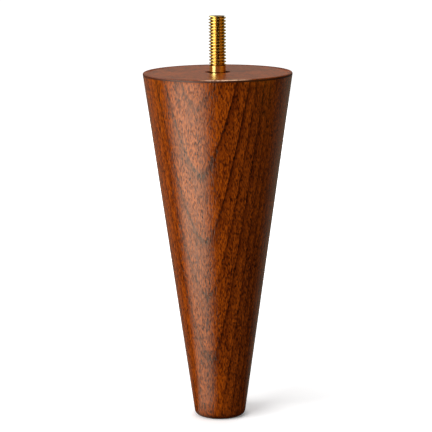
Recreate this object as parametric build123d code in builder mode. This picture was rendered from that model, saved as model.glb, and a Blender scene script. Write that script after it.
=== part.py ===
from build123d import *
import math
import os

# A turned wooden cone leg for a sofa, cabinet or bed, standing on its narrow foot.
# The frame is in millimetres, with the origin at the centre of the foot, on the floor, and +Z up the leg's axis.
# The wide end is the face that pulls up against the furniture, and a hanger bolt stands out of it.

# Turned wood: a straight cone with a broken arris at the wide end and a rounded foot
leg_height = 160.0
seat_diameter = 68.2
foot_diameter = 23.0
seat_arris = 0.7
foot_round = 2.6

# Hanger bolt, 5/16 inch: 18 machine threads an inch above the wood and a coarse lag thread in it
bolt_diameter = 7.94
shank_diameter = 7.45
stud_length = 25.4
stud_shank_length = 3.1
stud_end_chamfer = 0.45
shank_in_wood = 3.4
lag_length = 22.0
lag_root_diameter = 5.8
lag_pitch = 2.82
lag_crest_width = 0.35
lag_flank_angle = 30.0
lag_point_angle = 60.0

# Hole in the wood: a countersunk mouth that keeps the fibres from lifting, and a pilot hole past the bolt's point
countersink_diameter = 10.8
countersink_angle = 90.0
pilot_diameter = 5.0
pilot_end_clearance = 1.5
drill_point_angle = 118.0

# Heights that follow from the sizes above
seat_top = leg_height
stud_thread_bottom = seat_top + stud_shank_length
stud_top = seat_top + stud_length
shank_bottom = seat_top - shank_in_wood
lag_tip = shank_bottom - lag_length
pilot_bottom = lag_tip - pilot_end_clearance

# Radii of the bolt and the top of its cone point
bolt_radius = bolt_diameter / 2
shank_radius = shank_diameter / 2
lag_root_radius = lag_root_diameter / 2
lag_point_top = lag_tip + bolt_radius / math.tan(math.radians(lag_point_angle / 2))

# Lag groove: straight flanks from the root out past the crest, with a full crest left at both ends
lag_depth = bolt_radius - lag_root_radius
groove_reach = 0.15
groove_flank = math.tan(math.radians(lag_flank_angle))
groove_crest_half = (lag_pitch - lag_crest_width) / 2
groove_root_half = groove_crest_half - lag_depth * groove_flank
groove_outer_half = groove_crest_half + groove_reach * groove_flank
groove_bottom = lag_point_top + groove_outer_half
groove_height = shank_bottom - groove_outer_half - groove_bottom

with BuildPart() as lag_groove:
    with BuildLine() as groove_path:
        Helix(pitch=lag_pitch, height=groove_height, radius=lag_root_radius, center=(0, 0, groove_bottom))
    groove_start = groove_path.line @ 0
    groove_way = groove_path.line % 0
    with BuildSketch(Plane(origin=groove_start, x_dir=(1, 0, 0), z_dir=groove_way)):
        with BuildLine():
            Polyline(
                (0, -groove_root_half),
                (lag_depth + groove_reach, -groove_outer_half),
                (lag_depth + groove_reach, groove_outer_half),
                (0, groove_root_half),
                close=True,
            )
        make_face()
    sweep(path=groove_path.line, is_frenet=True)

with BuildPart() as hanger_bolt:
    with BuildSketch(Plane.XZ):
        with BuildLine():
            Polyline(
                (0, lag_tip),
                (bolt_radius, lag_point_top),
                (bolt_radius, shank_bottom),
                (shank_radius, shank_bottom),
                (shank_radius, stud_thread_bottom),
                (bolt_radius, stud_thread_bottom + bolt_radius - shank_radius),
                (bolt_radius, stud_top - stud_end_chamfer),
                (bolt_radius - stud_end_chamfer, stud_top),
                (0, stud_top),
                close=True,
            )
        make_face()
    revolve(axis=Axis.Z)
    add(lag_groove.part, mode=Mode.SUBTRACT)

# The wood is turned as one cone, and the bolt's own shape is cut from it, as its thread presses into the wood
seat_radius = seat_diameter / 2
foot_radius = foot_diameter / 2
countersink_radius = countersink_diameter / 2
countersink_depth = (countersink_radius - shank_radius) / math.tan(math.radians(countersink_angle / 2))
pilot_radius = pilot_diameter / 2
pilot_point = pilot_radius / math.tan(math.radians(drill_point_angle / 2))

with BuildPart() as turned_leg:
    with BuildSketch(Plane.XZ):
        with BuildLine():
            Polyline((0, 0), (foot_radius, 0), (seat_radius, seat_top), (0, seat_top), close=True)
        make_face()
    revolve(axis=Axis.Z)
    fillet(turned_leg.edges().filter_by(GeomType.CIRCLE).sort_by(Axis.Z)[0], radius=foot_round)
    fillet(turned_leg.edges().filter_by(GeomType.CIRCLE).sort_by(Axis.Z)[-1], radius=seat_arris)
    with BuildSketch(Plane.XZ):
        with BuildLine():
            Polyline(
                (0, pilot_bottom - pilot_point),
                (pilot_radius, pilot_bottom),
                (pilot_radius, seat_top - countersink_depth),
                (shank_radius, seat_top - countersink_depth),
                (countersink_radius, seat_top),
                (0, seat_top),
                close=True,
            )
        make_face()
    revolve(axis=Axis.Z, mode=Mode.SUBTRACT)
    add(hanger_bolt.part, mode=Mode.SUBTRACT)

os.makedirs("parts", exist_ok=True)

turned_leg.part.label = "turned_leg"
export_step(turned_leg.part, "parts/turned_leg.step")

hanger_bolt.part.label = "hanger_bolt"
export_step(hanger_bolt.part, "parts/hanger_bolt.step")
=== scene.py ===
"""A turned walnut cone leg with a threaded brass stud, dressed for its picture.

The wood and the hanger bolt are two closed skins of rings about the leg's axis. Their sizes are written in
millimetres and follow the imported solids, and every point is stored in metres. The wood's figure is a solid
pattern of growth rings about a leaning pith, so that the side, the rim and the end grain of the seat agree.
"""

import logging
import math
from dataclasses import dataclass, field
from enum import Enum
from functools import reduce

import bpy
import numpy as np
from mathutils import Matrix, Vector


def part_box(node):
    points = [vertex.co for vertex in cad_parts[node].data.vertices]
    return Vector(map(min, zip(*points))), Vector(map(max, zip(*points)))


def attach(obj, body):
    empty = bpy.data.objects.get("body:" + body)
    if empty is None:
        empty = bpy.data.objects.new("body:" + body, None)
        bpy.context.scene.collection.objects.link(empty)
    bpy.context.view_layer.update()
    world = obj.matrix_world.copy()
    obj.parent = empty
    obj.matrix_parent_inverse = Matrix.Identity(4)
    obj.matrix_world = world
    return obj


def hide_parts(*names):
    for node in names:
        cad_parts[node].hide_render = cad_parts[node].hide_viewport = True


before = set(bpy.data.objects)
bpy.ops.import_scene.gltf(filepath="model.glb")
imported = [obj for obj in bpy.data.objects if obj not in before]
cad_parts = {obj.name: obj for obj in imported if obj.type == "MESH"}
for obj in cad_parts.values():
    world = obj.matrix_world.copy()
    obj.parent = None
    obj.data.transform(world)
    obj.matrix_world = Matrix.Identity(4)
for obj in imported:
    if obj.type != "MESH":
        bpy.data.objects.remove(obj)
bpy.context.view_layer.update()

MM = 0.001
TURN = 2.0 * math.pi
IMAGE_SIDE = 432

log = logging.getLogger("cone_leg")

Socket = bpy.types.NodeSocket
Feed = Socket | float | tuple[float, ...]
Tint = tuple[float, float, float]
Colour = tuple[float, float, float, float]
Sizes = tuple[float, float, float]
Shares = tuple[float, float, float]

CREAM: Tint = (1.0, 0.92, 0.70)
PALE: Tint = (1.0, 0.98, 0.82)
AMBER: Tint = (1.0, 0.45, 0.03)
WHITE: Colour = (1.0, 1.0, 1.0, 1.0)


class Node(Enum):
    """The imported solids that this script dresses."""

    WOOD = "turned_leg"
    BOLT = "hanger_bolt"


class Slot(Enum):
    """The record's material slots."""

    WOOD = "leg_wood"
    BRASS = "bolt_brass"


class Op(Enum):
    """The sums that the finishes use, under Blender's names."""

    ADD = "ADD"
    SUBTRACT = "SUBTRACT"
    MULTIPLY = "MULTIPLY"
    DIVIDE = "DIVIDE"
    ROOT = "SQRT"
    FLOOR = "FLOOR"
    FRACTION = "FRACT"
    SIZE = "ABSOLUTE"
    LARGER = "MAXIMUM"
    SMALLER = "MINIMUM"


# Steps and patterns that the finishes and the studio name


@dataclass(frozen=True)
class Ramp:
    """A smooth step: the stretch that it takes, and what it gives before that stretch and after it."""

    low: float
    high: float
    before: float = 0.0
    after: float = 1.0


# A rise and a fall
Band = tuple[Ramp, Ramp]


def fall(low: float, high: float) -> Ramp:
    """The smooth step from 1 down to 0 over a stretch."""
    return Ramp(low, high, 1.0, 0.0)


@dataclass(frozen=True)
class Cloud:
    """Soft noise: its cells' sizes, its finer layers and how strong each is, and the step it goes through."""

    sizes: Sizes
    detail: float
    rough: float
    ramp: Ramp


@dataclass(frozen=True)
class Pores:
    """Pores along the grain: the cells that hold one each, and the fall from pore to wood, in cells."""

    sizes: Sizes
    fall: Ramp


# Mesh work


def ring_angles(columns: int) -> np.ndarray:
    """The angles of a ring's points, evenly spread over one turn.

    Args:
        columns: how many points the ring has.

    Returns:
        The angles in radians, counted from +X towards +Y.
    """
    return np.arange(columns) * TURN / columns


def rings(radii: np.ndarray, heights: np.ndarray, columns: int) -> np.ndarray:
    """Carries a profile round the Z axis.

    A point is (radius * cos(angle), radius * sin(angle), height).

    Args:
        radii: one radius a row, or one for each row and column.
        heights: one height a row.
        columns: how many points a ring has.

    Returns:
        An array of rows, columns and three coordinates.
    """
    angles = ring_angles(columns)
    radii = np.broadcast_to(radii.reshape(len(heights), -1), (len(heights), columns))
    levels = np.broadcast_to(heights[:, None], radii.shape)
    return np.stack([radii * np.cos(angles), radii * np.sin(angles), levels], axis=-1)


def closed_skin(name: str, rows: np.ndarray, first: float, last: float) -> bpy.types.Object:
    """Makes one closed mesh from rings, with a pole on the axis at each end.

    The profile runs from the first pole outwards and up, so that each face's corners, taken with the angle
    and then along the profile, make it point out of the piece.

    Args:
        name: the piece's name.
        rows: the rings, in millimetres.
        first: the height of the pole before the first ring.
        last: the height of the pole after the last ring.

    Returns:
        The new object, at the origin, with its points in metres.
    """
    count, columns = rows.shape[:2]
    points = np.concatenate([[[0.0, 0.0, first]], rows.reshape(-1, 3), [[0.0, 0.0, last]]]) * MM
    here = 1 + np.arange(count * columns).reshape(count, columns)
    beside = np.roll(here, -1, axis=1)
    quads = np.stack([here[:-1], beside[:-1], beside[1:], here[1:]], axis=-1).reshape(-1, 4)
    foot = np.stack([np.zeros(columns, int), beside[0], here[0]], axis=-1)
    head = np.stack([here[-1], beside[-1], np.full(columns, len(points) - 1)], axis=-1)
    corners = np.concatenate([foot.ravel(), quads.ravel(), head.ravel()])
    sides = np.concatenate([np.full(columns, 3), np.full(len(quads), 4), np.full(columns, 3)])
    mesh = bpy.data.meshes.new(name)
    mesh.vertices.add(len(points))
    mesh.vertices.foreach_set("co", points.ravel())
    mesh.loops.add(len(corners))
    mesh.loops.foreach_set("vertex_index", corners)
    mesh.polygons.add(len(sides))
    mesh.polygons.foreach_set("loop_start", np.concatenate([[0], np.cumsum(sides)[:-1]]))
    mesh.update(calc_edges=True)
    mesh.validate()
    mesh.shade_smooth()
    piece = bpy.data.objects.new(name, mesh)
    bpy.context.scene.collection.objects.link(piece)
    return piece


def rounded_corner(
    before: tuple[float, float],
    corner: tuple[float, float],
    after: tuple[float, float],
    radius: float,
    steps: int,
) -> np.ndarray:
    """An arc that rounds a corner of a profile.

    The arc's centre lies on the corner's bisector, one radius from both sides. Its points turn evenly from
    the side that arrives to the side that leaves.

    Args:
        before: a point on the side that arrives, as radius and height.
        corner: the sharp corner.
        after: a point on the side that leaves.
        radius: the arc's radius.
        steps: how many spans the arc has.

    Returns:
        The arc's points, one a row, as radius and height.
    """
    tip = np.array(corner)
    back = (np.array(before) - tip) / np.linalg.norm(np.array(before) - tip)
    onward = (np.array(after) - tip) / np.linalg.norm(np.array(after) - tip)
    half = 0.5 * math.acos(float(np.dot(back, onward)))
    middle = (back + onward) / np.linalg.norm(back + onward)
    centre = tip + middle * radius / math.sin(half)
    start = tip + back * radius / math.tan(half) - centre
    end = tip + onward * radius / math.tan(half) - centre
    sweep = math.acos(float(np.dot(start, end)) / radius**2)
    share = np.linspace(0.0, 1.0, steps + 1)[:, None]
    return centre + (np.sin((1 - share) * sweep) * start + np.sin(share * sweep) * end) / math.sin(sweep)


def span(start: tuple[float, float], end: tuple[float, float], steps: int) -> np.ndarray:
    """Evenly spaced profile points from start up to, but not at, end."""
    share = np.arange(steps)[:, None] / steps
    return np.array(start) * (1 - share) + np.array(end) * share


# Material work


class Bench:
    """Lays out the nodes of one tree, with a method for each kind of node that the finishes need."""

    def __init__(self, tree: bpy.types.NodeTree) -> None:
        """Empties the tree, so that every node in it is one made here."""
        self.tree = tree
        tree.nodes.clear()

    def add(self, kind: str, **settings: object) -> bpy.types.Node:
        """Adds a node.

        Args:
            kind: the node's kind, under Blender's name.
            settings: the values of its own settings.

        Returns:
            The new node.
        """
        node = self.tree.nodes.new(kind)
        for name, value in settings.items():
            setattr(node, name, value)
        return node

    def feed(self, socket: Socket, value: Feed) -> None:
        """Links a socket to another node's output, or writes a plain value on it.

        Args:
            socket: the socket that is fed.
            value: the output or the plain value.
        """
        if isinstance(value, Socket):
            self.tree.links.new(value, socket)
        else:
            socket.default_value = value

    def fill(self, node: bpy.types.Node, *values: Feed) -> Socket:
        """Feeds a node's first inputs in order.

        Args:
            node: the node.
            values: what its inputs get, from the first one on.

        Returns:
            The node's first output.
        """
        for index, value in enumerate(values):
            self.feed(node.inputs[index], value)
        return node.outputs[0]

    def sums(self, op: Op, first: Feed, second: Feed = 0.0, clamp: bool = False) -> Socket:
        """One sum of two numbers.

        Args:
            op: which sum.
            first: the first number.
            second: the second number, which a one-number sum ignores.
            clamp: whether the result stays between 0 and 1.

        Returns:
            The result's socket.
        """
        return self.fill(self.add("ShaderNodeMath", operation=op.value, use_clamp=clamp), first, second)

    def times(self, *values: Feed) -> Socket:
        """The product of all the values."""
        return reduce(lambda first, second: self.sums(Op.MULTIPLY, first, second), values)

    def plus(self, *values: Feed) -> Socket:
        """The sum of all the values."""
        return reduce(lambda first, second: self.sums(Op.ADD, first, second), values)

    def mix(self, start: float, *weighed: tuple[Feed, float]) -> Socket:
        """A plain number plus each value times its weight."""
        return self.plus(*(self.times(value, weight) for value, weight in weighed), start)

    def length(self, x: Feed, y: Feed) -> Socket:
        """The length of a flat vector: the root of the sum of its two squares."""
        return self.sums(Op.ROOT, self.plus(self.times(x, x), self.times(y, y)))

    def ease(self, value: Feed, ramp: Ramp) -> Socket:
        """A smooth step at a value: 3 s squared less 2 s cubed, where s is the share of the way through."""
        node = self.add("ShaderNodeMapRange", interpolation_type="SMOOTHSTEP")
        return self.fill(node, value, ramp.low, ramp.high, ramp.before, ramp.after)

    def band(self, value: Feed, band: Band) -> Socket:
        """The product of the two steps of a band, which rises over the first and falls over the second."""
        return self.times(*(self.ease(value, ramp) for ramp in band))

    def parts(self, vector: Feed) -> tuple[Socket, ...]:
        """The three coordinates of a vector.

        Args:
            vector: the vector.

        Returns:
            The three sockets.
        """
        node = self.add("ShaderNodeSeparateXYZ")
        self.fill(node, vector)
        return tuple(node.outputs)

    def vector(self, x: Feed, y: Feed, z: Feed) -> Socket:
        """A vector from its three coordinates."""
        return self.fill(self.add("ShaderNodeCombineXYZ"), x, y, z)

    def vectors(self, op: Op, first: Feed, second: Feed) -> Socket:
        """One sum of two vectors, coordinate by coordinate."""
        return self.fill(self.add("ShaderNodeVectorMath", operation=op.value), first, second)

    def scaled(self, vector: Feed, factor: Feed) -> Socket:
        """A vector times a number.

        Args:
            vector: the vector.
            factor: the number.

        Returns:
            The result's socket.
        """
        node = self.add("ShaderNodeVectorMath", operation="SCALE")
        self.feed(node.inputs["Scale"], factor)
        return self.fill(node, vector)

    def along(self, vector: Feed, way: Vector) -> Socket:
        """How far a vector goes in one direction: the sum of the products of their coordinates.

        Args:
            vector: the vector.
            way: the direction's unit vector.

        Returns:
            The socket of the distance.
        """
        node = self.add("ShaderNodeVectorMath", operation="DOT_PRODUCT")
        self.fill(node, vector, tuple(way))
        return node.outputs["Value"]

    def place(self) -> Socket:
        """The point of the surface in the piece's own frame, in millimetres."""
        return self.scaled(self.add("ShaderNodeTexCoord").outputs["Object"], 1.0 / MM)

    def noise(self, vector: Feed, sizes: Sizes, detail: float, rough: float = 0.5) -> Socket:
        """Soft noise with cells of the given sizes.

        Args:
            vector: where the noise is read.
            sizes: the cells' width, depth and height in the vector's unit.
            detail: how many finer layers lie on it.
            rough: how strong each finer layer is.

        Returns:
            The socket of a number that mostly lies between 0.25 and 0.75.
        """
        node = self.add("ShaderNodeTexNoise")
        self.feed(node.inputs["Vector"], self.vectors(Op.DIVIDE, vector, sizes))
        for name, value in (("Scale", 1.0), ("Detail", detail), ("Roughness", rough)):
            self.feed(node.inputs[name], value)
        return node.outputs["Fac"]

    def cloud(self, vector: Feed, cloud: Cloud) -> Socket:
        """A cloud's noise at a point, taken through the cloud's own step."""
        return self.ease(self.noise(vector, cloud.sizes, cloud.detail, cloud.rough), cloud.ramp)

    def cells(self, vector: Feed, sizes: Sizes) -> tuple[Socket, Socket]:
        """Scattered points, one in each cell of the given sizes.

        Args:
            vector: where the cells are read.
            sizes: the cells' width, depth and height in the vector's unit.

        Returns:
            The sockets of the distance to the nearest point, in cells, and of a number drawn for it.
        """
        node = self.add("ShaderNodeTexVoronoi")
        self.feed(node.inputs["Vector"], self.vectors(Op.DIVIDE, vector, sizes))
        node.inputs["Scale"].default_value = 1.0
        return node.outputs["Distance"], self.fill(self.add("ShaderNodeSeparateColor"), node.outputs["Color"])

    def blend(self, share: Feed, first: Feed, second: Feed) -> Socket:
        """The first colour, turning into the second as the share goes from 0 to 1.

        Args:
            share: the second colour's share.
            first: the first colour.
            second: the second colour.

        Returns:
            The result's socket.
        """
        node = self.add("ShaderNodeMix", data_type="RGBA")
        for index, value in ((0, share), (6, first), (7, second)):
            self.feed(node.inputs[index], value)
        return node.outputs[2]

    def bump(self, height: Feed, depth: float, strength: float) -> Socket:
        """A surface direction tilted by a height.

        Args:
            height: the height as a share of the depth.
            depth: how far a height of 1 stands up, in millimetres.
            strength: how much of the tilt shows.

        Returns:
            The socket of the new direction.
        """
        node = self.add("ShaderNodeBump")
        for name, value in (("Strength", strength), ("Distance", depth * MM), ("Height", height)):
            self.feed(node.inputs[name], value)
        return node.outputs[0]

    def background(self, colour: Feed, strength: float) -> Socket:
        """A plain light of one colour and strength, for the world."""
        return self.fill(self.add("ShaderNodeBackground"), colour, strength)

    def either(self, share: Feed, first: Socket, second: Socket) -> Socket:
        """The first shader, turning into the second as the share goes from 0 to 1."""
        return self.fill(self.add("ShaderNodeMixShader"), share, first, second)

    def finish(self, surface: Socket, kind: str = "ShaderNodeOutputMaterial") -> None:
        """Sends a surface to the tree's output, which is a material's unless the kind says otherwise."""
        self.feed(self.add(kind).inputs["Surface"], surface)

    def principled(self, inputs: dict[str, Feed]) -> None:
        """Sends a principled surface to the tree's output.

        Args:
            inputs: the surface's inputs by name.
        """
        shader = self.add("ShaderNodeBsdfPrincipled")
        for name, value in inputs.items():
            self.feed(shader.inputs[name], value)
        self.finish(shader.outputs[0])


def blank_material(name: str) -> tuple[bpy.types.Material, Bench]:
    """Makes a material with no nodes.

    Args:
        name: the material's name.

    Returns:
        The material and the bench of its tree.
    """
    material = bpy.data.materials.new(name)
    material.use_nodes = True
    return material, Bench(material.node_tree)


@dataclass(frozen=True)
class Spot:
    """A point of the wood's surface, as the sockets that measure it, in millimetres.

    `out` is the distance from the leg's axis, `level` the height above the seat and `side` the first
    coordinate as a share of the leg's radius at that height. `across` and `behind` are the flat coordinates
    counted from the leaning pith, and `grain` is the point in that frame.
    """

    x: Feed
    y: Feed
    z: Feed
    out: Feed
    level: Feed
    side: Feed
    across: Feed
    behind: Feed
    grain: Feed


@dataclass(frozen=True)
class WalnutFinish:
    """Walnut-stained wood under satin lacquer, as a solid pattern in the piece's own frame.

    Growth rings are circles about a pith line that stands far behind the leg and leans forwards, so that
    the cone cuts them into the V-shaped arches of plain-sawn wood. The front rings end at uneven distances
    from the pith, and all others are evenly spaced. Sizes are in millimetres. A level is a height above the
    seat, and a reach is a distance past the rim or the mouth.
    """

    # The leg's own sizes
    height: float = 160.0
    foot_radius: float = 11.5
    widening: float = 0.1413
    rim_radius: float = 34.1
    mouth_radius: float = 5.4
    seat_level: Ramp = Ramp(-0.2, -0.05)

    # Colours
    light_tone: Colour = (0.545, 0.098, 0.0020, 1.0)
    deep_tone: Colour = (0.10, 0.0105, 0.0003, 1.0)
    # The dark colour of the ring lines, also used for painted shade at the rim, the foot and the hole's mouth
    line_and_shade_tone: Colour = (0.045, 0.0055, 0.0005, 1.0)
    pore_tone: Colour = (0.022, 0.0025, 0.0003, 1.0)
    # The pale colour of the painted highlight on the front of the seat's arris
    rim_highlight_tone: Colour = (0.90, 0.58, 0.38, 1.0)

    # Rings
    pith: tuple[float, float] = (25.0, 86.8)
    pith_lean: tuple[float, float] = (-0.027, -0.057)
    front_rings: tuple[float, ...] = (101.8, 104.4, 106.8, 108.8, 111.3)
    ring_width: float = 2.4
    ring_offset: float = -0.08
    weakest_ring: float = 0.55
    late_wood: Band = (Ramp(0.35, 0.92), fall(0.96, 1.0))
    ring_line: Band = (Ramp(0.80, 0.92), fall(0.94, 1.0))
    slow_warp: Sizes = (16.0, 16.0, 70.0)
    slow_warp_reach: float = 0.35
    ragged_warp: Sizes = (1.3, 1.3, 7.0)
    ragged_warp_reach: float = 0.40
    tip_start: float = -0.6
    tip_lean: float = 0.033
    tip_depth: float = 0.27
    tip_fall: Ramp = Ramp(-9.0, 9.0, 2.0, 0.0)

    # Pores
    pores: tuple[Pores, Pores] = (
        Pores((0.64, 0.64, 2.2), fall(0.27, 0.37)),
        Pores((0.95, 0.95, 3.4), fall(0.21, 0.30)),
    )
    pore_patch: Cloud = Cloud((3.5, 3.5, 18.0), 2.0, 0.5, Ramp(0.35, 0.65, 0.72, 1.0))
    pore_strength: Ramp = Ramp(0.0, 0.7, 0.40, 1.0)
    pore_widening: float = 0.15
    pore_shade: float = 0.9

    # Flecks and slow changes of tone, and their weights between the deep tone and the light one
    fleck: Cloud = Cloud((0.38, 0.38, 1.8), 0.0, 0.5, Ramp(0.38, 0.62))
    zone: Cloud = Cloud((6.0, 6.0, 60.0), 3.0, 0.5, Ramp(0.34, 0.66))
    streak: Cloud = Cloud((1.0, 1.0, 22.0), 3.0, 0.7, Ramp(0.32, 0.68))
    middle_tone: float = 0.235
    fleck_pull: float = 0.60
    fleck_pull_right: float = -0.10
    zone_pull: float = 0.22
    streak_pull: float = 0.44
    streak_calm_right: float = 0.4
    streak_calm_seat: float = 0.9
    seat_calm: float = 0.88

    # The seat's end grain
    smudge: Cloud = Cloud((1.3, 2.6, 60.0), 3.0, 0.7, Ramp(0.36, 0.64, -0.5, 0.5))
    rays: Cloud = Cloud((0.30, 7.0, 1.0), 2.0, 0.6, Ramp(0.34, 0.66, -0.5, 0.5))
    bands: Cloud = Cloud((14.0, 1.5, 1.0), 3.0, 0.7, Ramp(0.34, 0.66, -0.5, 0.5))
    smudge_turn: tuple[float, float] = (0.87, 0.5)
    fan_reach: float = -80.0
    fan_level: float = 0.37
    end_tone: float = -0.16
    smudge_pull: float = 0.52
    rays_pull: float = 0.20
    bands_pull: float = 0.45

    # Shares that change from the left to the right: the left's, then what the middle and the right add to it
    middle_across: Ramp = Ramp(-28.0, -14.0)
    right_across: Ramp = Ramp(-6.0, 3.0)
    late_shares: Shares = (0.42, 0.36, -0.58)
    line_shares: Shares = (0.75, 0.10, -0.50)
    line_fleck: float = -0.35
    line_calm_seat: float = -0.45

    # The front left, where the light falls: a stripe of painted shade, ring lines painted fainter and deeper
    # pores
    shade_lane_side: Band = (Ramp(-0.68, -0.50), fall(-0.30, -0.08))
    shade_lane_front: Ramp = fall(-70.0, -60.0)
    shade_lane_height: Ramp = Ramp(90.0, 118.0, -0.12, 0.0)
    bright_side: Band = (Ramp(-0.80, -0.62), fall(-0.16, 0.02))
    bright_front: Ramp = fall(-90.0, -78.0)
    # How much fainter the ring lines are painted where the light falls, as painted highlight
    bright_line_calm: float = -0.18
    plain_depth: float = 0.30
    bright_depth: float = 1.6

    # Painted shade at the arris, the back of the rim and the foot, and in the hole's mouth on bare end grain
    rim_reach: Ramp = Ramp(-1.0, -0.6)
    rim_side: Band = (Ramp(-1.4, -1.1), fall(-0.46, -0.38))
    rim_top: Ramp = Ramp(-0.46, -0.38)
    rim_across: Ramp = Ramp(-12.0, -6.0, 0.62, 0.35)
    far_rim_reach: Ramp = Ramp(-4.6, -2.2)
    far_rim_behind: Ramp = Ramp(-4.0, 14.0)
    far_rim_level: Ramp = Ramp(-0.7, -0.6)
    far_rim_shade: float = 0.7
    mouth_reach: Ramp = fall(0.1, 0.6)
    mouth_level: Ramp = Ramp(-10.0, -9.9)
    mouth_stain_and_shade: float = 0.9
    foot_shade: Ramp = Ramp(0.4, 4.0, 0.5, 0.0)

    # A painted highlight along the front of the seat's arris, ragged
    rim_highlight_level: Band = (Ramp(-0.44, -0.37), fall(-0.03, -0.01))
    rim_highlight_across: Band = (Ramp(-9.5, -1.0), fall(8.0, 17.0))
    rim_highlight_front: Ramp = fall(-29.5, -28.0)
    rim_highlight_cloud: Cloud = Cloud((1.6, 8.0, 8.0), 2.0, 0.5, Ramp(0.30, 0.58, 0.25, 1.0))

    # Lacquer: its roughness, what each place adds to it, and the relief of pores and flecks
    specular: float = 0.5
    roughness: float = 0.21
    fleck_roughness: float = -0.03
    mouth_roughness: float = 0.5
    seat_roughness: float = 0.14
    arris_roughness: float = 0.25
    far_rim_roughness: float = 0.5
    rough_seat: Ramp = Ramp(-0.15, -0.03)
    rough_arris: Band = (Ramp(-1.3, -1.0), fall(-0.08, -0.04))
    fleck_height: float = 0.20
    relief_depth: float = 0.075
    relief_strength: float = 0.7

    def dress(self) -> bpy.types.Material:
        """Makes the material.

        Returns:
            The finished material.
        """
        material, bench = blank_material("walnut_lacquer")
        spot = self.spot(bench)
        mouth, far_rim = self.mouth(bench, spot), self.far_rim(bench, spot)
        colour, pores, flecks = self.figure(bench, spot)
        # Painted shade at the rim, the foot and the hole's mouth, and the mouth's bare stained end grain
        colour = bench.blend(self.edge_shade_and_stain(bench, spot, mouth, far_rim), colour, self.line_and_shade_tone)
        relief = bench.mix(0.0, (pores, -1.0), (flecks, self.fleck_height))
        rough = bench.mix(
            self.roughness,
            (flecks, self.fleck_roughness),
            (mouth, self.mouth_roughness),
            (bench.ease(spot.level, self.rough_seat), self.seat_roughness),
            (bench.band(spot.level, self.rough_arris), self.arris_roughness),
            (far_rim, self.far_rim_roughness),
        )
        bench.principled({
            # The pale front of the arris is a painted highlight
            "Base Color": bench.blend(self.painted_rim_highlight(bench, spot), colour, self.rim_highlight_tone),
            "Normal": bench.bump(relief, self.relief_depth, self.relief_strength),
            "Roughness": rough,
            "Specular IOR Level": self.specular,
        })
        return material

    def spot(self, bench: Bench) -> Spot:
        """Measures the point of the surface.

        A flat coordinate from the pith is the point's own, less the pith's lean times the height, less the
        pith's place at the floor.

        Args:
            bench: the material's bench.

        Returns:
            The point's measures.
        """
        x, y, z = bench.parts(bench.place())
        across = bench.plus(x, bench.times(z, -self.pith_lean[0]), -self.pith[0])
        behind = bench.plus(y, bench.times(z, -self.pith_lean[1]), -self.pith[1])
        return Spot(
            x=x,
            y=y,
            z=z,
            out=bench.length(x, y),
            level=bench.plus(z, -self.height),
            side=bench.sums(Op.DIVIDE, x, bench.mix(self.foot_radius, (z, self.widening))),
            across=across,
            behind=behind,
            grain=bench.vector(across, behind, z),
        )

    def mouth(self, bench: Bench, spot: Spot) -> Socket:
        """The share of the countersunk mouth of the hole: bare, rougher end grain, also painted darker as
        shade.
        """
        reach = bench.plus(spot.out, -self.mouth_radius)
        return bench.times(bench.ease(reach, self.mouth_reach), bench.ease(spot.level, self.mouth_level))

    def far_rim(self, bench: Bench, spot: Spot) -> Socket:
        """The share of the rougher ring round the back of the seat, which is also painted darker as shade.

        Args:
            bench: the material's bench.
            spot: the point.

        Returns:
            The share: a step outwards, times one to the back, times one at the seat's level.
        """
        return bench.times(
            bench.ease(bench.plus(spot.out, -self.rim_radius), self.far_rim_reach),
            bench.ease(spot.y, self.far_rim_behind),
            bench.ease(spot.level, self.far_rim_level),
        )

    def edge_shade_and_stain(self, bench: Bench, spot: Spot, mouth: Feed, far_rim: Feed) -> Socket:
        """The share of painted shade at the seat's arris, the back of its rim and the foot, and of bare end
        grain and painted shade in the hole's mouth.

        Args:
            bench: the material's bench.
            spot: the point.
            mouth: the share of the hole's mouth.
            far_rim: the share of the dull ring at the back.

        Returns:
            The share of the dark tone: the sum of the shares of these places.
        """
        # Painted shade along the seat's arris, stronger at its top towards the left
        outer = bench.ease(bench.plus(spot.out, -self.rim_radius), self.rim_reach)
        top = bench.times(bench.ease(spot.level, self.rim_top), bench.ease(spot.x, self.rim_across))
        rim = bench.times(outer, bench.plus(bench.band(spot.level, self.rim_side), top))
        # Painted shade on the foot's round, fading upwards
        foot = bench.ease(spot.z, self.foot_shade)
        # The back of the rim is painted darker as shade, and the hole's mouth as bare end grain with painted
        # shade
        return bench.plus(
            rim, bench.times(far_rim, self.far_rim_shade), foot, bench.times(mouth, self.mouth_stain_and_shade)
        )

    def painted_rim_highlight(self, bench: Bench, spot: Spot) -> Socket:
        """The share of the painted highlight on a stretch of the seat's arris, at the front.

        Args:
            bench: the material's bench.
            spot: the point.

        Returns:
            The share: a band of levels, times a stretch of the front, times ragged noise.
        """
        place = bench.vector(spot.x, spot.y, spot.z)
        return bench.times(
            bench.band(spot.level, self.rim_highlight_level),
            bench.band(spot.x, self.rim_highlight_across),
            bench.ease(spot.y, self.rim_highlight_front),
            bench.cloud(place, self.rim_highlight_cloud),
        )

    def ring_reach(self, bench: Bench, spot: Spot) -> Socket:
        """The distance from the pith by which the rings are counted.

        It is the plain distance, warped by a slow noise and a ragged one, each less a half. It is drawn out
        where the arches have their tips, by the upper half of a smooth step in the distance from their
        leaning middle.

        Args:
            bench: the material's bench.
            spot: the point.

        Returns:
            The distance's socket.
        """
        slow = bench.plus(bench.noise(spot.grain, self.slow_warp, detail=1.0), -0.5)
        ragged = bench.plus(bench.noise(spot.grain, self.ragged_warp, detail=2.0), -0.5)
        beside = bench.plus(spot.across, bench.times(spot.z, self.tip_lean), self.pith[0] - self.tip_start)
        tip = bench.ease(bench.sums(Op.SIZE, beside), self.tip_fall)
        warp = bench.mix(0.0, (slow, self.slow_warp_reach), (ragged, self.ragged_warp_reach))
        return bench.plus(bench.length(spot.across, spot.behind), warp, bench.times(tip, self.tip_depth))

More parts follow.
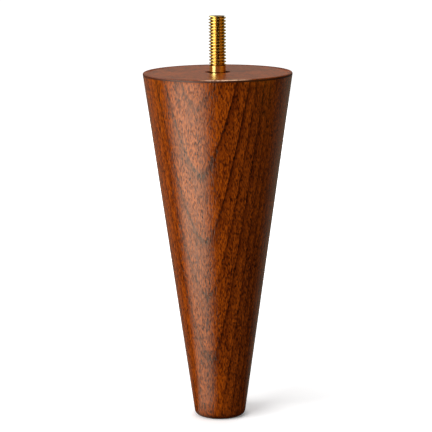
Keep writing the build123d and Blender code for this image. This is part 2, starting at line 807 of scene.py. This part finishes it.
    def ring_count(self, bench: Bench, reach: Feed) -> Socket:
        """Counts the rings out from the pith.

        Inside the front rings and past them the count is the distance over the ring's width. Between two
        front rings it goes up by one, as the share of the way from one to the other.

        Args:
            bench: the material's bench.
            reach: the distance from the pith.

        Returns:
            The count's socket.
        """
        first, last = self.front_rings[0], self.front_rings[-1]
        inner = bench.times(bench.plus(bench.sums(Op.SMALLER, reach, first), -first), 1.0 / self.ring_width)
        outer = bench.times(bench.plus(bench.sums(Op.LARGER, reach, last), -last), 1.0 / self.ring_width)
        count = bench.plus(inner, outer)
        for low, high in zip(self.front_rings[:-1], self.front_rings[1:]):
            step = bench.sums(Op.DIVIDE, bench.plus(reach, -low), high - low, clamp=True)
            count = bench.plus(count, step)
        return count

    def ring_shades(self, bench: Bench, reach: Feed) -> tuple[Socket, Socket]:
        """The slow darkening towards a ring's end, and the soft dark line there.

        The count's whole part draws the ring's strength, and its fraction is how far through the ring the
        point is.

        Args:
            bench: the material's bench.
            reach: the distance from the pith.

        Returns:
            The sockets of the two shares.
        """
        count = bench.plus(self.ring_count(bench, reach), self.ring_offset)
        share = bench.sums(Op.FRACTION, count)
        draw = bench.add("ShaderNodeTexWhiteNoise", noise_dimensions="1D")
        bench.feed(draw.inputs["W"], bench.sums(Op.FLOOR, count))
        strength = bench.mix(self.weakest_ring, (draw.outputs["Value"], 1.0 - self.weakest_ring))
        late = bench.times(bench.band(share, self.late_wood), strength)
        return late, bench.times(bench.band(share, self.ring_line), strength)

    def dashes(self, bench: Bench, spot: Spot, line: Feed, calm: Feed) -> Socket:
        """Short dark pores along the grain, one to a cell, wider on a ring's line.

        A pore's share falls with the distance from its cell's point, and a number drawn for the cell
        weakens it. The stronger of the short and the long pores shows, in patches.

        Args:
            bench: the material's bench.
            spot: the point.
            line: the share of a ring's line.
            calm: how much of the pores shows, less on the seat.

        Returns:
            The pores' share.
        """
        shares = []
        for pores in self.pores:
            gap, drawn = bench.cells(spot.grain, pores.sizes)
            gap = bench.plus(gap, bench.times(line, -self.pore_widening))
            shares.append(bench.times(bench.ease(gap, pores.fall), bench.ease(drawn, self.pore_strength)))
        return bench.times(bench.sums(Op.LARGER, *shares), bench.cloud(spot.grain, self.pore_patch), calm)

    def end_grain(self, bench: Bench, spot: Spot, reach: Feed) -> Socket:
        """The seat's own changes of tone: slanted smudges, rays out from the pith and bands along the rings.

        The smudges lie in the pith's frame turned by a cosine and a sine. The rays and bands lie in a frame
        of the bearing from the pith, which is across over behind, and the distance from it.

        Args:
            bench: the material's bench.
            spot: the point.
            reach: the distance from the pith.

        Returns:
            The socket of what is added to the tone.
        """
        cosine, sine = self.smudge_turn
        slant = bench.vector(
            bench.plus(bench.times(spot.across, cosine), bench.times(spot.behind, sine)),
            bench.plus(bench.times(spot.behind, cosine), bench.times(spot.across, -sine)),
            spot.z,
        )
        fan = bench.times(bench.sums(Op.DIVIDE, spot.across, spot.behind), self.fan_reach)
        ground = bench.vector(fan, reach, self.fan_level)
        return bench.mix(
            self.end_tone,
            (bench.cloud(slant, self.smudge), self.smudge_pull),
            (bench.cloud(ground, self.rays), self.rays_pull),
            (bench.cloud(ground, self.bands), self.bands_pull),
        )

    def tone(self, bench: Bench, spot: Spot, reach: Feed, fleck: Feed, calm: Feed) -> Socket:
        """How light the wood is, from 0 for the deep tone to 1 for the light one.

        It is a middle tone plus flecks, slow zones, streaks, the seat's end grain and painted shade in a
        stripe at the lower front left. The streaks are drawn towards their middle at the right and on the
        seat.

        Args:
            bench: the material's bench.
            spot: the point.
            reach: the distance from the pith.
            fleck: the share of the pale flecks.
            calm: how much of the flecks shows, less on the seat.

        Returns:
            The tone's socket.
        """
        seat, right = bench.ease(spot.level, self.seat_level), bench.ease(spot.across, self.right_across)
        flat = bench.mix(0.0, (right, -self.streak_calm_right), (seat, -self.streak_calm_seat))
        flat = bench.sums(Op.LARGER, flat, -self.streak_calm_seat)
        streak = bench.times(bench.cloud(spot.grain, self.streak), bench.plus(flat, 1.0))
        streak = bench.plus(streak, bench.times(flat, -0.5))
        flecks = bench.times(
            bench.plus(fleck, -0.5), bench.mix(self.fleck_pull, (right, self.fleck_pull_right)), calm
        )
        # Painted shade: a darker stripe where the light falls on the lower front left
        shade_lane = bench.times(
            bench.band(spot.side, self.shade_lane_side),
            bench.ease(spot.behind, self.shade_lane_front),
            bench.ease(spot.z, self.shade_lane_height),
        )
        tone = bench.plus(
            shade_lane,
            flecks,
            bench.times(bench.cloud(spot.grain, self.zone), self.zone_pull),
            bench.times(streak, self.streak_pull),
            bench.times(self.end_grain(bench, spot, reach), seat),
            self.middle_tone,
        )
        return bench.sums(Op.SMALLER, bench.sums(Op.LARGER, tone, 0.0), 1.0)

    def by_side(self, bench: Bench, spot: Spot, shares: Shares) -> Socket:
        """The share at the left, plus what the middle adds, plus what the right adds."""
        middle, right = (bench.ease(spot.across, ramp) for ramp in (self.middle_across, self.right_across))
        return bench.mix(shares[0], (middle, shares[1]), (right, shares[2]))

    def figure(self, bench: Bench, spot: Spot) -> tuple[Socket, Socket, Socket]:
        """The wood's figure: the tone, and on it the rings' darkening, their lines and the pores.

        Args:
            bench: the material's bench.
            spot: the point.

        Returns:
            The sockets of the colour, of the pores' depth and of the pale flecks' height.
        """
        reach = self.ring_reach(bench, spot)
        late, line = self.ring_shades(bench, reach)
        seat, bright = bench.ease(spot.level, self.seat_level), bench.band(spot.side, self.bright_side)
        calm = bench.mix(1.0, (seat, -self.seat_calm))
        pore, fleck = self.dashes(bench, spot, line, calm), bench.cloud(spot.grain, self.fleck)

        colour = bench.blend(self.tone(bench, spot, reach, fleck, calm), self.deep_tone, self.light_tone)
        late = bench.times(late, self.by_side(bench, spot, self.late_shares))
        colour = bench.blend(late, colour, self.deep_tone)
        broken = bench.plus(bench.times(fleck, self.line_fleck), self.by_side(bench, spot, self.line_shares))
        # The ring lines are fainter on the seat, and painted fainter where the light falls at the front left
        faint = bench.mix(1.0, (seat, self.line_calm_seat), (bright, self.bright_line_calm))
        colour = bench.blend(bench.times(line, broken, faint), colour, self.line_and_shade_tone)
        colour = bench.blend(bench.times(pore, self.pore_shade), colour, self.pore_tone)
        front = bench.ease(spot.behind, self.bright_front)
        depth = bench.mix(self.plain_depth, (bench.times(bright, front), self.bright_depth))
        return colour, bench.times(pore, depth), bench.times(fleck, calm, depth)


@dataclass(frozen=True)
class BrassFinish:
    """Bright brass-coloured plating, with duller roots painted darker as shade. Sizes are in millimetres."""

    bright: Colour = (0.92, 0.76, 0.27, 1.0)
    # The dark colour of the painted shade in the roots and at the thread's start, and of the grime
    shade_and_dirt_tone: Colour = (0.28, 0.105, 0.010, 1.0)
    edge: Colour = (1.0, 0.80, 0.42, 1.0)
    root_radius: Ramp = fall(3.10, 3.5785)
    thread_height: Ramp = Ramp(163.3, 163.7)
    # A thin line of painted shade where the thread starts
    neck_height: Band = (Ramp(162.95, 163.05), fall(163.35, 163.5))
    cloud: Cloud = Cloud((2.2, 2.2, 3.4), 3.0, 0.5, Ramp(0.35, 0.7))
    root_shade: float = 0.62
    cloud_dirt: float = 0.10
    roughness: float = 0.09
    root_roughness: float = 0.12
    cloud_roughness: float = 0.03
    coat: float = 0.35
    coat_roughness: float = 0.06
    turning: Sizes = (6.0, 6.0, 0.14)
    turning_depth: float = 0.004
    turning_strength: float = 0.1

    def dress(self) -> bpy.types.Material:
        """Makes the material.

        The roots are found by their distance from the axis, above the height where the thread starts. They
        are painted darker as shade, a thin line of painted shade lies at the top of the plain shank, and
        faint clouds of grime lie over all.

        Returns:
            The finished material.
        """
        material, bench = blank_material("bolt_plating")
        place = bench.place()
        x, y, z = bench.parts(place)
        root = bench.ease(bench.length(x, y), self.root_radius)
        root = bench.times(root, bench.ease(z, self.thread_height))
        cloud, neck = bench.cloud(place, self.cloud), bench.band(z, self.neck_height)
        # Painted shade in the roots and at the thread's start, plus faint clouds of grime
        shade_and_dirt = bench.plus(bench.times(root, self.root_shade), bench.times(cloud, self.cloud_dirt), neck)
        turned = bench.noise(place, self.turning, detail=1.0)
        rough = bench.mix(self.roughness, (root, self.root_roughness), (cloud, self.cloud_roughness))
        bench.principled({
            "Base Color": bench.blend(bench.sums(Op.SMALLER, shade_and_dirt, 1.0), self.bright, self.shade_and_dirt_tone),
            "Metallic": 1.0,
            "Roughness": rough,
            "Specular Tint": self.edge,
            "Coat Weight": self.coat,
            "Coat Roughness": self.coat_roughness,
            "Normal": bench.bump(turned, self.turning_depth, self.turning_strength),
        })
        return material


# The pieces


@dataclass(frozen=True)
class Thread:
    """A right-handed helical thread with flat crests and roots and straight flanks.

    Sizes are in millimetres, and the crest and the root are shares of the pitch.
    """

    pitch: float
    depth: float
    crest: float
    root: float
    low: float
    high: float
    fade_low: float
    fade_high: float
    through: float
    flank_ease: float = 0.6

    def inset(self, angle: np.ndarray, height: np.ndarray) -> np.ndarray:
        """How far the surface lies under the crest.

        The thread's phase is the height over the pitch, less the share of a turn. Its distance from the
        middle of a crest runs from 0 to a half. Less than half the crest's share is crest, and the last
        half of the root's share is root. The flank between them is nearly straight, eased a little at both
        ends. The depth fades out towards both ends of the thread.

        Args:
            angle: the angle about the axis.
            height: the height.

        Returns:
            The inset, in millimetres.
        """
        phase = (height - self.through) / self.pitch - (angle / TURN - 0.5)
        away = np.abs(phase - np.round(phase))
        share = np.clip((away - self.crest / 2) / (0.5 - self.crest / 2 - self.root / 2), 0.0, 1.0)
        eased = (1.0 - self.flank_ease) * share + self.flank_ease * share**2 * (3.0 - 2.0 * share)
        fade = np.clip((height - self.low) / self.fade_low, 0.0, 1.0)
        fade = fade * np.clip((self.high - height) / self.fade_high, 0.0, 1.0)
        return self.depth * eased * fade


@dataclass
class HangerBolt:
    """The hanger bolt: machine thread above the wood, plain shank, and a pointed lag thread in the wood.

    Sizes are in millimetres, and steps are rings a turn of a thread.
    """

    crest_radius: float
    end: float
    seat: float
    tip: float
    shank_radius: float = 3.725
    shank_above: float = 3.1
    shank_below: float = 3.4
    end_chamfer: float = 0.45
    lead_in: float = 0.14
    neck: tuple[float, float] = (0.3, 0.06)
    face_shares: tuple[float, float] = (0.97, 0.5)
    tip_radius: float = 0.02
    tip_rise: float = 0.05
    point_half_angle: float = math.radians(30.0)
    sharp_angle: float = math.radians(25.0)
    columns: int = 96
    lag_steps: int = 20
    stud_steps: int = 24
    finish: BrassFinish = field(default_factory=BrassFinish)

    def __post_init__(self) -> None:
        """Works out the two threads from the sizes."""
        self.thread_low = self.seat + self.shank_above
        self.shank_low = self.seat - self.shank_below
        self.machine = Thread(
            pitch=25.4 / 18.0, depth=0.866, crest=0.125, root=0.22, low=self.thread_low, high=self.end + 1.0,
            fade_low=0.35, fade_high=0.1, through=self.end - 1.6,
        )
        self.lag = Thread(
            pitch=2.82, depth=1.07, crest=0.124, root=0.42, low=self.tip, high=self.shank_low,
            fade_low=0.1, fade_high=1.2, through=self.tip,
        )

    def lag_radius(self, angle: np.ndarray, height: np.ndarray) -> np.ndarray:
        """The lag's radius: the smaller of the thread's radius and that of the cone point."""
        cone = (height - self.tip) * math.tan(self.point_half_angle)
        return np.minimum(self.crest_radius - self.lag.inset(angle, height), cone + self.tip_radius)

    def stud_radius(self, angle: np.ndarray, height: np.ndarray) -> np.ndarray:
        """The stud's radius above the shank.

        Args:
            angle: the angle about the axis.
            height: the height.

        Returns:
            The smallest of the thread's radius, the end chamfer's and the lead-in's.
        """
        thread = self.crest_radius - self.machine.inset(angle, height)
        chamfer = self.crest_radius - self.end_chamfer + (self.end - height)
        lead = self.shank_radius - self.lead_in + (height - self.thread_low)
        return np.minimum(np.minimum(thread, chamfer), lead)

    def lag_rows(self, per_turn: int) -> np.ndarray:
        """The heights of the lag's rings, evenly spaced from just above the tip to the shank."""
        steps = math.ceil((self.shank_low - self.tip) / self.lag.pitch * per_turn)
        return np.linspace(self.tip + self.tip_rise, self.shank_low, steps + 1)

    def build(self) -> bpy.types.Object:
        """Makes the bolt as one closed skin and gives it its finish.

        Returns:
            The bolt's object.
        """
        angle = ring_angles(self.columns)[None, :]
        lag = self.lag_rows(self.lag_steps)
        lag_skin = rings(self.lag_radius(angle, lag[:, None]), lag, self.columns)
        neck = self.thread_low - np.array(self.neck)
        shank = np.array([self.shank_low, self.seat, *neck, self.thread_low])
        shank_radii = np.array([self.shank_radius] * 4 + [self.shank_radius - self.lead_in])
        steps = math.ceil((self.end - self.thread_low) / self.machine.pitch * self.stud_steps)
        stud = np.linspace(self.thread_low, self.end, steps + 1)[1:]
        stud_skin = rings(self.stud_radius(angle, stud[:, None]), stud, self.columns)
        face_radii = np.array(self.face_shares) * (self.crest_radius - self.end_chamfer)
        face = rings(face_radii, np.full(2, self.end), self.columns)
        rows = np.concatenate([lag_skin, rings(shank_radii, shank, self.columns), stud_skin, face])
        piece = closed_skin("threaded_bolt", rows, self.tip, self.end)
        piece.data.set_sharp_from_angle(angle=self.sharp_angle)
        piece.data.materials.append(self.finish.dress())
        return piece


@dataclass
class ConeLeg:
    """The turned wood: a straight cone on a rounded foot, with a broken arris and a countersunk hole.

    Sizes are in millimetres. Steps are the spans of a stretch of the profile, and in the hole the rings a
    turn of the lag thread.
    """

    height: float
    bolt: HangerBolt
    seat_radius: float = 34.1
    foot_radius: float = 11.5
    seat_arris: float = 0.7
    foot_round: float = 2.6
    mouth_radius: float = 5.4
    pilot_radius: float = 2.5
    pilot_clearance: float = 1.5
    drill_half_angle: float = math.radians(59.0)
    press_gap: float = 0.01
    foot_middle: float = 1.5
    mouth_ring: tuple[float, float] = (0.12, 0.2)
    sharp_angle: float = math.radians(40.0)
    columns: int = 192
    foot_steps: int = 5
    foot_round_steps: int = 12
    side_steps: int = 72
    arris_steps: int = 8
    seat_steps: int = 14
    hole_steps: int = 12
    finish: WalnutFinish = field(default_factory=WalnutFinish)

    def outside(self) -> np.ndarray:
        """The profile from the foot's middle, up the side and in to the hole's mouth.

        Returns:
            The profile's points, one a row, as radius and height.
        """
        middle, foot, seat = (0.0, 0.0), (self.foot_radius, 0.0), (self.seat_radius, self.height)
        mouth = (self.mouth_radius, self.height)
        foot_arc = rounded_corner(middle, foot, seat, self.foot_round, self.foot_round_steps)
        seat_arc = rounded_corner(foot, seat, mouth, self.seat_arris, self.arris_steps)
        return np.concatenate([
            span((self.foot_middle, 0.0), tuple(foot_arc[0]), self.foot_steps),
            foot_arc[:-1],
            span(tuple(foot_arc[-1]), tuple(seat_arc[0]), self.side_steps),
            seat_arc[:-1],
            span(tuple(seat_arc[-1]), mouth, self.seat_steps),
        ])

    def hole(self) -> np.ndarray:
        """The hole's rings, from its mouth down to the end of the pilot hole.

        Under the countersink the wall follows the bolt's own radius, a hair wider, because the lag thread
        presses its shape into the wood. It is never narrower than the pilot hole.

        Returns:
            An array of rows, columns and three coordinates.
        """
        bore = self.bolt.shank_radius + self.press_gap
        sink = self.height - (self.mouth_radius - bore)
        inset, drop = self.mouth_ring
        radii = np.array([self.mouth_radius, self.mouth_radius - inset, bore, bore])
        heights = np.array([self.height, self.height - drop, sink, self.bolt.shank_low])
        angle = ring_angles(self.columns)[None, :]
        levels = self.bolt.lag_rows(self.hole_steps)[::-1]
        wall = np.maximum(self.bolt.lag_radius(angle, levels[:, None]) + self.press_gap, self.pilot_radius)
        end = self.bolt.tip - self.pilot_clearance
        return np.concatenate([
            rings(radii, heights, self.columns),
            rings(wall, levels, self.columns),
            rings(np.array([self.pilot_radius]), np.array([end]), self.columns),
        ])

    def build(self) -> bpy.types.Object:
        """Makes the wood as one closed skin and gives it its finish.

        Returns:
            The wood's object.
        """
        outside = self.outside()
        rows = np.concatenate([rings(outside[:, 0], outside[:, 1], self.columns), self.hole()])
        end = self.bolt.tip - self.pilot_clearance - self.pilot_radius / math.tan(self.drill_half_angle)
        piece = closed_skin("walnut_cone", rows, 0.0, end)
        piece.data.set_sharp_from_angle(angle=self.sharp_angle)
        piece.data.materials.append(self.finish.dress())
        return piece


# The studio


def direction(bearing: float, rise: float) -> Vector:
    """The unit vector of a direction from the leg.

    Args:
        bearing: the angle from the side that the photograph shows, towards its right, in degrees.
        rise: the angle above the floor, in degrees.

    Returns:
        The bearing's sine and less its cosine, both times the rise's cosine, and the rise's sine.
    """
    turn, up = math.radians(bearing), math.radians(rise)
    return Vector((math.sin(turn) * math.cos(up), -math.cos(turn) * math.cos(up), math.sin(up)))


def cosines(half_width: float, soft: float) -> tuple[float, float]:
    """The cosines of the outer and the inner angle of a soft edge, both in degrees from its middle."""
    return math.cos(math.radians(half_width + soft)), math.cos(math.radians(half_width - soft))


@dataclass(frozen=True)
class SoftBox:
    """A plain rectangular lamp that faces the leg. Sizes are in metres and angles in degrees."""

    name: str
    bearing: float
    rise: float
    distance: float
    width: float
    height: float
    radiance: float
    aim: Sizes = (0.0, 0.0, 0.09)

    def place(self) -> bpy.types.Object:
        """Makes the lamp.

        A rectangle of area A that gives off W watts has a radiance of W over pi A.

        Returns:
            The lamp's object.
        """
        lamp = bpy.data.lights.new(self.name, "AREA")
        lamp.shape = "RECTANGLE"
        lamp.size, lamp.size_y = self.width, self.height
        lamp.energy = self.radiance * math.pi * self.width * self.height
        holder = bpy.data.objects.new(self.name, lamp)
        away = direction(self.bearing, self.rise)
        holder.location = Vector(self.aim) + away * self.distance
        holder.rotation_euler = away.to_track_quat("Z", "Y").to_euler()
        holder.visible_camera = False
        holder.visible_glossy = False
        bpy.context.scene.collection.objects.link(holder)
        return holder


@dataclass(frozen=True)
class Sheet:
    """A lit sector of the floor, as reflections show it. Angles are in degrees and distances in metres.

    Its sides are soft over twice `soft`, and its near and far ends over twice their own blurs.
    """

    bearing: float
    half_width: float
    soft: float
    near: float
    far: float
    radiance: float
    tint: Tint
    near_blur: float = 0.05
    far_blur: float = 0.05


@dataclass(frozen=True)
class Glow:
    """A round lit part of the room above the floor, as reflections show it. Angles are in degrees."""

    bearing: float
    rise: float
    half_width: float
    soft: float
    radiance: float
    tint: Tint


@dataclass(frozen=True)
class Studio:
    """The pale floor, the white surroundings, the soft lamps and the camera. Sizes are in metres.

    The camera's angles are in degrees. The world's coordinates are those of a direction's unit vector.
    """

    camera_place: Sizes = (0.0, -0.9235, 0.2593)
    camera_dip: float = 10.17
    camera_swing: float = 0.077
    camera_roll: float = -0.435
    camera_clip: tuple[float, float] = (0.05, 50.0)
    focal_pixels: float = 2043.8
    sensor: float = 36.0

    # The floor as the camera sees it, by distance from the leg's axis: a painted contact shadow round
    # the foot, dim near the foot and paler outwards
    floor_half: float = 8.0
    floor_seen: float = 1.04
    floor_bounce: float = 0.22
    floor_glow_and_contact_shadow: tuple[Ramp, ...] = (
        Ramp(0.0112, 0.0150, -0.17, 0.0),
        Ramp(0.012, 0.036, 0.32, 0.49),
        Ramp(0.04, 0.12, 0.0, 0.06),
        Ramp(0.12, 0.35, 0.0, 0.4),
    )

    # The light that falls on the leg: weak and plain from all round, and soft from the lamps
    ambient: float = 0.12
    boxes: tuple[SoftBox, ...] = (
        SoftBox("key_box", -50.0, 30.0, 1.0, 0.95, 0.85, 4.4),
        SoftBox("fill_box", 62.0, 22.0, 1.3, 0.75, 1.0, 0.52),
        SoftBox("top_box", 0.0, 84.0, 0.9, 0.4, 0.4, 0.9),
        SoftBox("back_box", 170.0, 25.0, 1.1, 0.9, 0.8, 1.8),
    )

    # What the lacquer and the brass mirror: the dark floor and its sheets, a backdrop, a high strip and glows
    floor_dark: float = 0.01
    backdrop: Ramp = Ramp(0.65, 0.95, 0.01, 0.345)
    strip_rise: Band = (Ramp(0.50, 0.56), fall(0.80, 0.86))
    strip_behind: Ramp = Ramp(-0.30, -0.15, 2.0, 0.0)
    strip_across: Ramp = fall(0.22, 0.40)
    sheets: tuple[Sheet, ...] = (
        Sheet(-52.0, 23.0, 17.0, 0.020, 0.5, 2.6, CREAM, 0.014),
        Sheet(-52.0, 23.0, 17.0, 0.155, 0.5, 2.6, CREAM, 0.125),
        Sheet(-55.0, 24.0, 14.0, 0.5, 20.0, 2.1, PALE),
        Sheet(-18.0, 12.0, 12.0, 0.5, 20.0, 0.35, AMBER),
        Sheet(-100.0, 14.0, 12.0, 0.5, 20.0, 0.40, AMBER),
        Sheet(62.0, 27.0, 10.0, 0.5, 20.0, 0.50, AMBER),
        Sheet(180.0, 60.0, 25.0, 0.0, 20.0, 0.16, CREAM),
    )
    glows: tuple[Glow, ...] = (
        Glow(-55.0, 14.0, 15.0, 14.0, 8.0, PALE),
        Glow(60.0, 24.0, 24.0, 12.0, 0.60, AMBER),
        Glow(-125.0, 48.0, 23.0, 9.0, 2.6, PALE),
        Glow(120.0, 50.0, 26.0, 4.0, 0.55, AMBER),
    )

    def camera(self) -> None:
        """Sets the camera, from where the leg's outline in the photograph puts it."""
        data = bpy.data.cameras.new("camera")
        data.sensor_width = self.sensor
        data.lens = self.focal_pixels / IMAGE_SIDE * self.sensor
        data.clip_start, data.clip_end = self.camera_clip
        holder = bpy.data.objects.new("camera", data)
        swing = Matrix.Rotation(math.radians(self.camera_swing), 4, "Z")
        dip = Matrix.Rotation(math.radians(90.0 - self.camera_dip), 4, "X")
        roll = Matrix.Rotation(math.radians(self.camera_roll), 4, "Z")
        holder.matrix_world = Matrix.Translation(self.camera_place) @ swing @ dip @ roll
        bpy.context.scene.collection.objects.link(holder)
        bpy.context.scene.camera = holder

    def seen_rays(self, bench: Bench) -> tuple[Socket, Socket]:
        """Tells the camera's rays from those that metal, lacquer or glass sends on.

        Args:
            bench: the bench of the floor or the world.

        Returns:
            The sockets of the two shares.
        """
        rays = bench.add("ShaderNodeLightPath").outputs
        sent = bench.sums(Op.LARGER, rays["Is Glossy Ray"], rays["Is Transmission Ray"])
        return rays["Is Camera Ray"], sent

    def floor(self) -> bpy.types.Object:
        """Makes the floor, which shows white to the camera and still takes the object's shadow.

        The camera sees a white paper that takes the shadow, and a glow that is the sum of steps in the
        distance from the leg; its first step paints a contact shadow round the foot. Reflections see the
        mirrored floor alone.

        Returns:
            The floor's object.
        """
        half = self.floor_half
        mesh = bpy.data.meshes.new("floor")
        corners = [(-half, -half, 0.0), (half, -half, 0.0), (half, half, 0.0), (-half, half, 0.0)]
        mesh.from_pydata(corners, [], [(0, 1, 2, 3)])
        material, bench = blank_material("floor_white")
        place = bench.add("ShaderNodeTexCoord").outputs["Object"]
        x, y, _ = bench.parts(place)
        reach = bench.length(x, y)
        seen, sent = self.seen_rays(bench)
        pale = bench.mix(self.floor_bounce, (seen, self.floor_seen - self.floor_bounce))
        pale = bench.times(pale, bench.mix(1.0, (sent, -1.0)))
        paper = bench.fill(bench.add("ShaderNodeBsdfDiffuse"), bench.vector(pale, pale, pale))
        # The glow, with a painted contact shadow round the foot
        white = bench.plus(*(bench.ease(reach, ramp) for ramp in self.floor_glow_and_contact_shadow))
        colour = bench.blend(sent, WHITE, self.mirrored_floor(bench, place, reach))
        glow = bench.fill(bench.add("ShaderNodeEmission"), colour, bench.plus(bench.times(seen, white), sent))
        bench.finish(bench.fill(bench.add("ShaderNodeAddShader"), paper, glow))
        mesh.materials.append(material)
        piece = bpy.data.objects.new("floor", mesh)
        bpy.context.scene.collection.objects.link(piece)
        return piece

    def mirrored_floor(self, bench: Bench, place: Feed, reach: Feed) -> Socket:
        """How bright the floor is in the lacquer and the brass.

        The floor is dark but for its sheets. Bright ones lie at the front left, near the foot and far out,
        tinted ones lie far out at the other sides, and the floor behind is dim. Each sheet is a smooth step
        in the cosine of the angle from its middle, times a step at its near end and one at its far end.

        Args:
            bench: the floor's bench.
            place: the floor's point.
            reach: its distance from the leg's axis.

        Returns:
            The colour's socket.
        """
        result = bench.scaled(CREAM, self.floor_dark)
        for sheet in self.sheets:
            cosine = bench.sums(Op.DIVIDE, bench.along(place, direction(sheet.bearing, 0.0)), reach)
            share = bench.times(
                bench.ease(cosine, Ramp(*cosines(sheet.half_width, sheet.soft))),
                bench.ease(reach, Ramp(sheet.near - sheet.near_blur, sheet.near + sheet.near_blur)),
                bench.ease(reach, fall(sheet.far - sheet.far_blur, sheet.far + sheet.far_blur)),
                sheet.radiance,
            )
            result = bench.vectors(Op.ADD, result, bench.scaled(sheet.tint, share))
        return result

    def room(self, bench: Bench) -> Socket:
        """How bright the room is in the lacquer and the brass.

        A backdrop stands behind the leg, a strip hangs high at the front, and each glow is an eased step in
        the cosine of the angle from its middle. The strip's sides are a step in the square of the first
        coordinate.

        Args:
            bench: the world's bench.

        Returns:
            The colour's socket.
        """
        way = bench.add("ShaderNodeTexCoord").outputs["Generated"]
        x, y, z = bench.parts(way)
        strip = bench.times(bench.band(z, self.strip_rise), bench.ease(y, self.strip_behind))
        strip = bench.times(strip, bench.ease(bench.times(x, x), self.strip_across))
        lit = bench.scaled(PALE, bench.plus(bench.ease(y, self.backdrop), strip))
        for glow in self.glows:
            outer, inner = cosines(glow.half_width, glow.soft)
            cosine = bench.along(way, direction(glow.bearing, glow.rise))
            share = bench.ease(cosine, Ramp(outer, inner, 0.0, glow.radiance))
            lit = bench.vectors(Op.ADD, lit, bench.scaled(glow.tint, share))
        return lit

    def surroundings(self) -> None:
        """Sets the world: white to the camera, a lit room in reflections, and weak plain light."""
        world = bpy.data.worlds.new("studio")
        world.use_nodes = True
        bpy.context.scene.world = world
        bench = Bench(world.node_tree)
        seen, sent = self.seen_rays(bench)
        room = bench.background(self.room(bench), strength=1.0)
        plain = bench.background(WHITE, strength=self.ambient)
        white = bench.background(WHITE, strength=1.0)
        bench.finish(bench.either(seen, bench.either(sent, plain, room), white), "ShaderNodeOutputWorld")

    def build(self) -> None:
        """Sets the camera, the floor, the surroundings and the lamps."""
        bpy.context.scene.view_settings.view_transform = "Standard"
        self.camera()
        self.floor()
        self.surroundings()
        for box in self.boxes:
            box.place()


def report(piece: bpy.types.Object) -> None:
    """Logs a piece's name, its triangles and its size in millimetres.

    Args:
        piece: the piece.
    """
    piece.data.calc_loop_triangles()
    size = ", ".join(f"{side / MM:.1f}" for side in piece.dimensions)
    log.info("%s: %d triangles, %s mm", piece.name, len(piece.data.loop_triangles), size)


def main() -> None:
    """Sets the studio, builds the bolt and the wood round it, and puts both in the place of their solids.

    Each finished piece's name, triangles and size in millimetres are logged at the end.
    """
    logging.basicConfig(level=logging.INFO, format="%(name)s: %(message)s")
    Studio().build()
    leg_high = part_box(Node.WOOD.value)[1]
    bolt_low, bolt_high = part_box(Node.BOLT.value)
    seat = leg_high[2] / MM
    bolt = HangerBolt(crest_radius=bolt_high[0] / MM, end=bolt_high[2] / MM, seat=seat, tip=bolt_low[2] / MM)
    leg = ConeLeg(height=seat, bolt=bolt)
    for piece, node, slot in ((leg.build(), Node.WOOD, Slot.WOOD), (bolt.build(), Node.BOLT, Slot.BRASS)):
        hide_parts(node.value)
        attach(piece, "root")
        report(piece)


if __name__ == "__main__":
    main()
